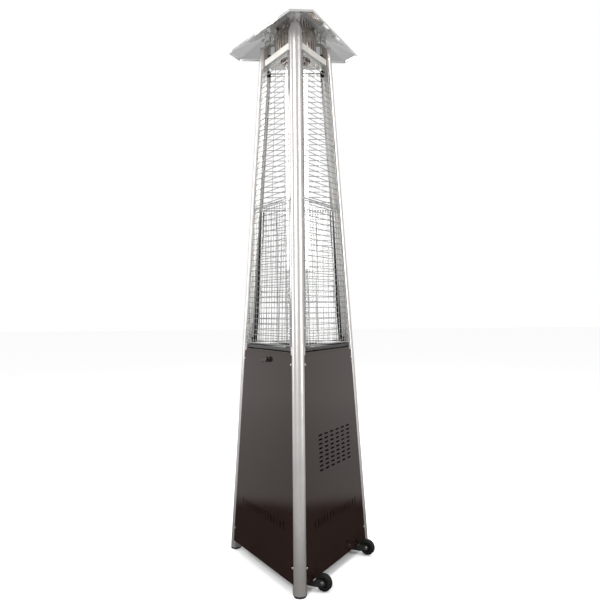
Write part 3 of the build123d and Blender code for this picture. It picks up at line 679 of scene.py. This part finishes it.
def readScrew(points):
    # a screw's two equal spreads lie across its axis, and its head is its wide end
    middle = points.mean(0)
    spreads, ways = np.linalg.eigh(np.cov((points - middle).T))
    axis = ways[:, 2 if spreads[1] - spreads[0] < spreads[2] - spreads[1] else 0]
    along = (points - middle) @ axis
    across = np.linalg.norm((points - middle) - np.outer(along, axis), axis=1)
    head = across > screwReading["headFrom"] * across.max()
    if along[head].mean() < along.mean():
        axis, along = -axis, -along
    low, high = along[head].min(), along[head].max()
    shank = along < along.min() + screwReading["tipDepth"]
    return {"seat": middle + axis * low, "facing": axis,
            "headRadius": across.max(), "headHeight": high - low,
            "shankRadius": across[shank].max(), "shankLength": low - along.min()}


def makeScrews(node, tree):
    found = [readScrew(points) for points in looseParts(node)]
    label = node + "_recessed"
    mesh = bpy.data.meshes.new(label)
    mesh.from_pydata([screw["seat"] for screw in found], [], [])
    facing = mesh.attributes.new("facing", "FLOAT_VECTOR", "POINT")
    for index, screw in enumerate(found):
        facing.data[index].vector = screw["facing"]
    first = found[0]
    obj = runTree(newObject(label, mesh), tree, label, Head_Radius=float(first["headRadius"]),
                  Head_Height=float(first["headHeight"]), Shank_Radius=float(first["shankRadius"]),
                  Shank_Length=float(first["shankLength"]), Recess=screwRecess[node],
                  Material=materials[slotOf[node]])
    smoothBelow(obj.data, 35)
    addPiece(obj, node)


screwTree = makeScrewTree()
for name in screwRecess:
    makeScrews(name, screwTree)
print("screws made")

# the tower's own lines, which the guards follow
tower = {"footRadius": 0.320, "headRadius": 0.146, "postHeight": 2.163}
lean = (tower["footRadius"] - tower["headRadius"]) / tower["postHeight"]
faceTilt = atan(lean / 2)
faceAngles = {"left": 210.0, "right": 330.0, "rear": 90.0}


def halfSide(z):
    return (tower["footRadius"] - lean * z) * sqrt(3) / 2


def faceMatrix(angle):
    # X runs along the face, Y up its slope, Z out of it
    out = Vector((cos(radians(angle)), sin(radians(angle)), 0))
    along = Vector((-out.y, out.x, 0))
    normal = (out + Vector((0, 0, lean / 2))).normalized()
    up = normal.cross(along)
    turn = Matrix((along, up, normal)).transposed().to_4x4()
    return Matrix.Translation(out * tower["footRadius"] / 2) @ turn


guard = {
    "stripPlane": 0.0185,      # the line between the posts to the strip's back
    "stripThick": 0.0018,
    "stripOuter": 0.0132,      # a post's axis to the strip's edge
    "stripInner": 0.028,
    "barHeight": 0.005,
    "wireRadius": 0.0015,
    "wireEnd": 0.024,
    "wirePitch": 0.0225,
    "columnRadius": 0.0009,
    "stayRadius": 0.0024,
    "staySpacing": 0.170,
    "unevenness": 0.0004,
    "weldSink": 0.0004,        # how far the wires sink into the strips
    "weldTouch": 0.9,          # crossing wires stand this part of their radii apart
    "margin": 0.001,           # the wires stop this far inside the strips' ends
    "edge": 0.0005,
    "wireSides": 8,
}
guardSections = {
    "guard_lower": {"low": 0.897, "high": 1.462, "columnPitch": 0.0225, "stays": True},
    "guard_upper": {"low": 1.464, "high": 2.058, "columnPitch": 0.0, "stays": False},
}


def makeWireTree():
    tree, start, end = shapeTree("guardWires", [
        ("Low Half", "NodeSocketFloat", 0.2), ("High Half", "NodeSocketFloat", 0.15),
        ("Reach", "NodeSocketFloat", 0.5), ("Margin", "NodeSocketFloat", 0.02), ("Rows", "NodeSocketInt", 20),
        ("Row Radius", "NodeSocketFloat", 0.0015), ("Columns", "NodeSocketInt", 1),
        ("Column Pitch", "NodeSocketFloat", 0.0225), ("Column Radius", "NodeSocketFloat", 0.001),
        ("Unevenness", "NodeSocketFloat", 0.0004), ("Seed", "NodeSocketInt", 1),
        ("Material", "NodeSocketMaterial", None)])
    wire = addNode(tree, "GeometryNodeMeshCylinder")
    feed(tree, wire, Vertices=guard["wireSides"], Radius=1.0, Depth=1.0)
    index = addNode(tree, "GeometryNodeInputIndex").outputs[0]
    reach = start.outputs["Reach"]
    slope = mathNode(tree, "DIVIDE",
                     mathNode(tree, "SUBTRACT", start.outputs["Low Half"], start.outputs["High Half"]), reach)

    rows = addNode(tree, "GeometryNodeMeshLine", mode="OFFSET")
    spare = mathNode(tree, "SUBTRACT", reach, mathNode(tree, "MULTIPLY", start.outputs["Margin"], 2.0))
    step = mathNode(tree, "DIVIDE", spare, mathNode(tree, "SUBTRACT", start.outputs["Rows"], 1.0))
    feed(tree, rows, Count=start.outputs["Rows"], Offset=vectorOf(tree, 0.0, step, 0.0),
         Start_Location=vectorOf(tree, 0.0, start.outputs["Margin"], 0.0))
    height = mathNode(tree, "ADD", start.outputs["Margin"], mathNode(tree, "MULTIPLY", index, step))
    half = mathNode(tree, "SUBTRACT", start.outputs["Low Half"], mathNode(tree, "MULTIPLY", height, slope))
    shake = addNode(tree, "FunctionNodeRandomValue", data_type="FLOAT_VECTOR")
    link(tree, start.outputs["Seed"], shake.inputs["Seed"])
    shake.inputs[0].default_value = (0.0, -1.0, 0.0)
    shake.inputs[1].default_value = (0.0, 1.0, 0.0)
    shift = addNode(tree, "ShaderNodeVectorMath", operation="SCALE")
    link(tree, shake.outputs[0], shift.inputs[0])
    link(tree, start.outputs["Unevenness"], shift.inputs["Scale"])
    moved = addNode(tree, "GeometryNodeSetPosition")
    feed(tree, moved, Geometry=rows.outputs[0], Offset=shift.outputs[0])
    across = addNode(tree, "GeometryNodeInstanceOnPoints")
    feed(tree, across, Points=moved.outputs[0], Instance=wire.outputs["Mesh"])
    across.inputs["Rotation"].default_value = (0, radians(90), 0)
    radius = start.outputs["Row Radius"]
    link(tree, vectorOf(tree, radius, radius, mathNode(tree, "MULTIPLY", half, 2.0)), across.inputs["Scale"])

    columns = addNode(tree, "GeometryNodeMeshLine", mode="OFFSET")
    pitch = start.outputs["Column Pitch"]
    firstColumn = mathNode(tree, "MULTIPLY", mathNode(tree, "SUBTRACT", start.outputs["Columns"], 1.0),
                           mathNode(tree, "MULTIPLY", pitch, -0.5))
    feed(tree, columns, Count=start.outputs["Columns"], Start_Location=vectorOf(tree, firstColumn, 0.0, 0.0),
         Offset=vectorOf(tree, pitch, 0.0, 0.0))
    side = mathNode(tree, "ADD", firstColumn, mathNode(tree, "MULTIPLY", index, pitch))
    free = mathNode(tree, "SUBTRACT", start.outputs["Low Half"], mathNode(tree, "ABSOLUTE", side))
    tall = mathNode(tree, "MINIMUM", mathNode(tree, "DIVIDE", free, slope), reach)
    lifted = addNode(tree, "GeometryNodeSetPosition")
    apart = mathNode(tree, "ADD", radius, start.outputs["Column Radius"])
    behind = mathNode(tree, "MULTIPLY", apart, -guard["weldTouch"])
    feed(tree, lifted, Geometry=columns.outputs[0],
         Offset=vectorOf(tree, 0.0, mathNode(tree, "MULTIPLY", tall, 0.5), behind))
    upward = addNode(tree, "GeometryNodeInstanceOnPoints")
    feed(tree, upward, Points=lifted.outputs[0], Instance=wire.outputs["Mesh"])
    upward.inputs["Rotation"].default_value = (radians(90), 0, 0)
    thin = start.outputs["Column Radius"]
    link(tree, vectorOf(tree, thin, thin, tall), upward.inputs["Scale"])

    whole = addNode(tree, "GeometryNodeJoinGeometry")
    link(tree, across.outputs[0], whole.inputs[0])
    link(tree, upward.outputs[0], whole.inputs[0])
    realise(tree, whole.outputs[0], start, end)
    return tree


def stripFrame(label, low, high):
    # the flat strips and bars that a guard's wires are welded to
    mesh = bpy.data.meshes.new(label)
    work = bmesh.new()
    corners = []
    for inset, rise in (("stripOuter", 0.0), ("stripInner", guard["barHeight"])):
        bottom, top = low + rise, high - rise
        lowHalf, highHalf = halfSide(bottom) - guard[inset], halfSide(top) - guard[inset]
        ring = [(-lowHalf, bottom), (lowHalf, bottom), (highHalf, top), (-highHalf, top)]
        corners.append([work.verts.new((x, z / cos(faceTilt), guard["stripPlane"])) for x, z in ring])
    for index in range(4):
        after = (index + 1) % 4
        work.faces.new((corners[0][index], corners[0][after], corners[1][after], corners[1][index]))
    work.to_mesh(mesh)
    work.free()
    obj = newObject(label, mesh)
    thick = obj.modifiers.new("sheet", "SOLIDIFY")
    thick.thickness = guard["stripThick"]
    thick.offset = 1.0
    addBevel(obj, guard["edge"])
    return finishMesh(obj, label)


def joinMeshes(obj, others):
    work = bmesh.new()
    work.from_mesh(obj.data)
    for other in others:
        work.from_mesh(other.data)
        bpy.data.objects.remove(other)
    work.to_mesh(obj.data)
    work.free()
    return obj


def rodBetween(label, radius, start, finish, sides=12):
    # a round bar with closed ends
    way = Vector(finish) - Vector(start)
    middle = Matrix.Translation((Vector(start) + Vector(finish)) / 2)
    mesh = bpy.data.meshes.new(label)
    work = bmesh.new()
    bmesh.ops.create_cone(work, cap_ends=True, segments=sides, radius1=radius, radius2=radius, depth=way.length)
    turn = way.to_track_quat("Z", "Y").to_matrix().to_4x4()
    bmesh.ops.transform(work, matrix=middle @ turn, verts=work.verts)
    work.to_mesh(mesh)
    work.free()
    return newObject(label, mesh)


def makeGuard(section, side, tree):
    values = guardSections[section]
    node = f"{section}_{side}"
    label = node + "_wires"
    low, high = values["low"] + guard["margin"], values["high"] - guard["margin"]
    reach = (high - low) / cos(faceTilt)
    rows = int((high - low - 2 * guard["barHeight"]) / guard["wirePitch"]) + 1
    columns = 1
    if values["columnPitch"]:
        columns = 2 * int((halfSide(low) - guard["stripInner"]) / values["columnPitch"]) + 1
    wires = newObject(label, bpy.data.meshes.new(label))
    runTree(wires, tree, label, Low_Half=halfSide(low) - guard["wireEnd"],
            High_Half=halfSide(high) - guard["wireEnd"], Reach=reach, Margin=guard["barHeight"] * 2.5,
            Rows=rows, Row_Radius=guard["wireRadius"], Columns=columns,
            Column_Pitch=values["columnPitch"] or guard["wirePitch"], Column_Radius=guard["columnRadius"],
            Unevenness=guard["unevenness"], Seed=len(label) + rows, Material=materials[slotOf[node]])
    depth = guard["stripPlane"] - guard["wireRadius"] + guard["weldSink"]
    wires.data.transform(Matrix.Translation((0, low / cos(faceTilt), depth)))
    extras = [stripFrame(label + "_strips", values["low"], values["high"])]
    if values["stays"]:
        back = depth - guard["wireRadius"] - guard["stayRadius"] * guard["weldTouch"]
        bottom = (low + guard["margin"]) / cos(faceTilt)
        top = (high - guard["margin"]) / cos(faceTilt)
        for x in (-guard["staySpacing"] / 2, guard["staySpacing"] / 2):
            extras.append(rodBetween(label + "_stay", guard["stayRadius"], (x, bottom, back), (x, top, back)))
    joinMeshes(wires, extras)
    wires.data.transform(faceMatrix(faceAngles[side]))
    smoothBelow(wires.data, 40)
    addPiece(wires, node, materials[slotOf[node]])


wireTree = makeWireTree()
for section in guardSections:
    for side in faceAngles:
        makeGuard(section, side, wireTree)
print("guards made")

# wheels, turned about their axles
wheel = {
    "width": 0.022,
    "boreRadius": 0.004,
    "boreGap": 0.00008,
    "rimOuter": 0.022,
    "rimInner": 0.0182,
    "tyreInside": 0.0001,      # the tyre keeps this far inside its CAD shape
    "shoulder": 0.0067,
    "shoulderSteps": 5,
    "grooves": 3,
    "grooveDepth": 0.0007,
    "grooveOuter": 0.0008,     # half a groove's width at the tread and at its floor
    "grooveInner": 0.0004,
    "bossRadius": 0.0095,
    "bossOver": 0.0012,
    "bossSlope": 0.001,
    "webHalf": 0.0018,
    "ribs": 6,
    "ribThick": 0.0022,
    "ribShort": 0.004,         # how much narrower the ribs are than the wheel
    "tuck": 0.0005,            # how far the web and ribs run into the boss and rim
    "edge": 0.0005,
    "steps": 72,
}


def spinRing(label, section):
    # a closed ring about X from a closed section of (radius, x) points
    mesh = bpy.data.meshes.new(label)
    work = bmesh.new()
    rings = []
    for step in range(wheel["steps"]):
        angle = 2 * pi * step / wheel["steps"]
        rings.append([work.verts.new((x, radius * cos(angle), radius * sin(angle))) for radius, x in section])
    count = len(section)
    for step in range(wheel["steps"]):
        here, there = rings[step], rings[(step + 1) % wheel["steps"]]
        for index in range(count):
            after = (index + 1) % count
            work.faces.new((here[index], here[after], there[after], there[index]))
    bmesh.ops.recalc_face_normals(work, faces=work.faces)
    work.to_mesh(mesh)
    work.free()
    return newObject(label, mesh)


def tyreSection(radius):
    # from one flank over the tread to the other, with grooves round it
    half = wheel["width"] / 2
    shoulder = wheel["shoulder"]
    outer, inner, drop = wheel["grooveOuter"], wheel["grooveInner"], wheel["grooveDepth"]
    steps = wheel["shoulderSteps"]
    points = [(wheel["rimOuter"], -half), (radius - shoulder, -half)]
    for step in range(1, steps + 1):
        angle = radians(90 * step / steps)
        points.append((radius - shoulder + shoulder * sin(angle), -half + shoulder - shoulder * cos(angle)))
    flat = wheel["width"] - 2 * shoulder
    for groove in range(wheel["grooves"]):
        centre = -half + shoulder + flat * (groove + 0.5) / wheel["grooves"]
        points += [(radius, centre - outer), (radius - drop, centre - inner)]
        points += [(radius - drop, centre + inner), (radius, centre + outer)]
    for step in range(steps + 1):
        angle = radians(90 * (steps - step) / steps)
        points.append((radius - shoulder + shoulder * sin(angle), half - shoulder + shoulder * cos(angle)))
    return points + [(wheel["rimOuter"], half)]


def makeRibTree():
    tree, start, end = shapeTree("hubRibs", [
        ("Ribs", "NodeSocketInt", 6), ("Inner", "NodeSocketFloat", 0.008), ("Outer", "NodeSocketFloat", 0.019),
        ("Thick", "NodeSocketFloat", 0.0022), ("Depth", "NodeSocketFloat", 0.016),
        ("Material", "NodeSocketMaterial", None)])
    both = mathNode(tree, "ADD", start.outputs["Inner"], start.outputs["Outer"])
    middle = mathNode(tree, "MULTIPLY", both, 0.5)
    long = mathNode(tree, "SUBTRACT", start.outputs["Outer"], start.outputs["Inner"])
    circle = addNode(tree, "GeometryNodeMeshCircle")
    feed(tree, circle, Vertices=start.outputs["Ribs"], Radius=middle)
    bar = addNode(tree, "GeometryNodeMeshCube")
    feed(tree, bar, Size=vectorOf(tree, long, start.outputs["Thick"], start.outputs["Depth"]))
    outward = addNode(tree, "FunctionNodeAlignRotationToVector", axis="X")
    link(tree, addNode(tree, "GeometryNodeInputPosition").outputs[0], outward.inputs["Vector"])
    place = addNode(tree, "GeometryNodeInstanceOnPoints")
    feed(tree, place, Points=circle.outputs[0], Instance=bar.outputs["Mesh"], Rotation=outward.outputs[0])
    realise(tree, place.outputs[0], start, end)
    return tree


def wheelMatrix(joint):
    # X runs along the axle
    axle = Vector(joint["axis"]).normalized()
    up = Vector((0, 0, 1))
    out = up.cross(axle)
    turn = Matrix((axle, out, up)).transposed().to_4x4()
    return Matrix.Translation(Vector(joint["pos_m"])) @ turn


def hubSections():
    half = wheel["width"] / 2
    far = half + wheel["bossOver"]
    bore = wheel["boreRadius"] + wheel["boreGap"]
    boss, rim, web = wheel["bossRadius"], wheel["rimInner"], wheel["webHalf"]
    slope = boss - wheel["bossSlope"]
    inner, outer = boss - wheel["tuck"], rim + wheel["tuck"]
    return {
        "rim": [(rim, -half), (wheel["rimOuter"], -half), (wheel["rimOuter"], half), (rim, half)],
        "boss": [(bore, -far), (slope, -far), (boss, -half), (boss, half), (slope, far), (bore, far)],
        "web": [(inner, -web), (outer, -web), (outer, web), (inner, web)],
    }


def makeWheel(name, joint, tree):
    radius = (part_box(f"{name}_tyre")[1].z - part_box(f"{name}_tyre")[0].z) / 2
    place = wheelMatrix(joint)
    tyre = spinRing(f"{name}_tyre_moulded", tyreSection(radius - wheel["tyreInside"]))
    tyre.data.transform(place)
    smoothBelow(tyre.data, 40)
    addPiece(tyre, f"{name}_tyre", materials["wheel_tyre"])

    sections = hubSections()
    hub = spinRing(f"{name}_hub_moulded", sections["rim"])
    boss = spinRing("boss", sections["boss"])
    web = spinRing("web", sections["web"])
    ribs = newObject("ribs", bpy.data.meshes.new("ribs"))
    runTree(ribs, tree, "ribs", Ribs=wheel["ribs"], Inner=wheel["bossRadius"] - wheel["tuck"],
            Outer=wheel["rimInner"] + wheel["tuck"], Thick=wheel["ribThick"],
            Depth=wheel["width"] - wheel["ribShort"], Material=materials["wheel_hub"])
    ribs.data.transform(Matrix.Rotation(radians(90), 4, "Y"))
    joinMeshes(hub, [boss, web, ribs])
    addBevel(hub, wheel["edge"], 40)
    finishMesh(hub, f"{name}_hub_moulded")
    hub.data.transform(place)
    smoothBelow(hub.data, 35)
    addPiece(hub, f"{name}_hub", materials["wheel_hub"])


ribTree = makeRibTree()
for joint in frame["joints"]:
    if joint["child"].endswith("wheel"):
        makeWheel(joint["child"], joint, ribTree)
print("wheels made")

# pale floor that shows a painted reflection in glossy surfaces, soft boxes and a bright surround
studio = {
    "floorSize": 60.0,
    "floorColour": (0.92, 0.92, 0.92),
    # the floor's look in glossy surfaces is a painted reflection, set by the values below
    "darkReach": 1.12,         # how far out the floor looks dark in glossy surfaces
    "darkFade": (0.85, 1.15),
    "paintedReflectionDark": (0.035, 0.03, 0.028),
    "longRay": 1.9,            # glossy rays longer than this never see the dark part
    "longFade": (0.85, 1.1),
    "middleGrey": 0.4,         # how pale the floor looks in them past the dark part, and far off
    "farGrey": 0.68,
    "farReach": 7.0,
    "inGloss": 0.6,            # the surround in glossy surfaces, as light, and seen directly
    "onSurfaces": 1.05,
    "background": 1.0,
}


def makeFloor():
    mesh = bpy.data.meshes.new("studioFloor")
    size = studio["floorSize"] / 2
    corners = [(-size, -size, 0), (size, -size, 0), (size, size, 0), (-size, size, 0)]
    mesh.from_pydata(corners, [], [(0, 1, 2, 3)])
    floor = newObject("studioFloor", mesh)
    material, tree, shader, coords = startMaterial("paleFloor", Roughness=0.8)
    shader.inputs["Base Color"].default_value = (*studio["floorColour"], 1)
    shader.inputs["Specular IOR Level"].default_value = 0.0
    # painted reflection: glossy rays see a glow instead of the lit floor, dark near the tower and grey further out
    paintedReflection = addNode(tree, "ShaderNodeEmission")
    reach = addNode(tree, "ShaderNodeVectorMath", operation="LENGTH")
    link(tree, coords, reach.inputs[0])
    distance = reach.outputs["Value"]
    darkFrom, darkTo = (studio["darkReach"] * part for part in studio["darkFade"])
    nearFade = rangeNode(tree, distance, darkFrom, darkTo, curve="SMOOTHSTEP")
    paths = addNode(tree, "ShaderNodeLightPath")
    far = rangeNode(tree, distance, studio["darkReach"], studio["farReach"],
                    studio["middleGrey"], studio["farGrey"])
    longFrom, longTo = (studio["longRay"] * part for part in studio["longFade"])
    longFade = rangeNode(tree, paths.outputs["Ray Length"], longFrom, longTo)
    pale = mathNode(tree, "MAXIMUM", nearFade, longFade)
    mix = addNode(tree, "ShaderNodeMix", data_type="RGBA")
    link(tree, pale, mix.inputs["Factor"])
    mix.inputs["A"].default_value = (*studio["paintedReflectionDark"], 1)
    link(tree, far, mix.inputs["B"])
    link(tree, mix.outputs["Result"], paintedReflection.inputs["Color"])
    choose = addNode(tree, "ShaderNodeMixShader")
    link(tree, paths.outputs["Is Glossy Ray"], choose.inputs[0])
    link(tree, shader.outputs[0], choose.inputs[1])
    link(tree, paintedReflection.outputs[0], choose.inputs[2])
    link(tree, choose.outputs[0], tree.nodes["Material Output"].inputs["Surface"])
    mesh.materials.append(material)


softBoxes = {
    "frontBox": {"place": (-1.2, -3.2, 2.6), "aim": (0, 0, 1.2), "size": (1.4, 2.2), "power": 70.0},
    "rightBox": {"place": (3.0, -1.2, 2.0), "aim": (0, 0, 1.1), "size": (1.0, 2.6), "power": 60.0},
    "leftBox": {"place": (-3.0, 0.4, 2.0), "aim": (0, 0, 1.1), "size": (1.0, 2.6), "power": 45.0},
    "topBox": {"place": (0.3, 0.3, 4.4), "aim": (0, 0, 1.0), "size": (2.6, 2.6), "power": 70.0},
    "backBox": {"place": (0.6, 3.4, 2.4), "aim": (0, 0, 1.2), "size": (2.4, 2.0), "power": 50.0},
}


def makeLights():
    for name, values in softBoxes.items():
        data = bpy.data.lights.new(name, "AREA")
        data.shape = "RECTANGLE"
        data.size, data.size_y = values["size"]
        data.energy = values["power"]
        obj = bpy.data.objects.new(name, data)
        scene.collection.objects.link(obj)
        place = Vector(values["place"])
        way = Vector(values["aim"]) - place
        obj.matrix_world = Matrix.Translation(place) @ way.to_track_quat("-Z", "Y").to_matrix().to_4x4()


def makeSurround():
    world = bpy.data.worlds.new("surround")
    world.use_nodes = True
    scene.world = world
    tree = world.node_tree
    ground = tree.nodes["Background"]
    paths = addNode(tree, "ShaderNodeLightPath")
    gloss = rangeNode(tree, paths.outputs["Is Glossy Ray"], 0.0, 1.0, studio["onSurfaces"], studio["inGloss"])
    level = rangeNode(tree, paths.outputs["Is Camera Ray"], 0.0, 1.0, gloss, studio["background"])
    ground.inputs["Color"].default_value = (1, 1, 1, 1)
    link(tree, level, ground.inputs["Strength"])


makeFloor()
makeLights()
makeSurround()
scene.view_settings.view_transform = "Standard"
scene.view_settings.look = "None"
print("studio set")
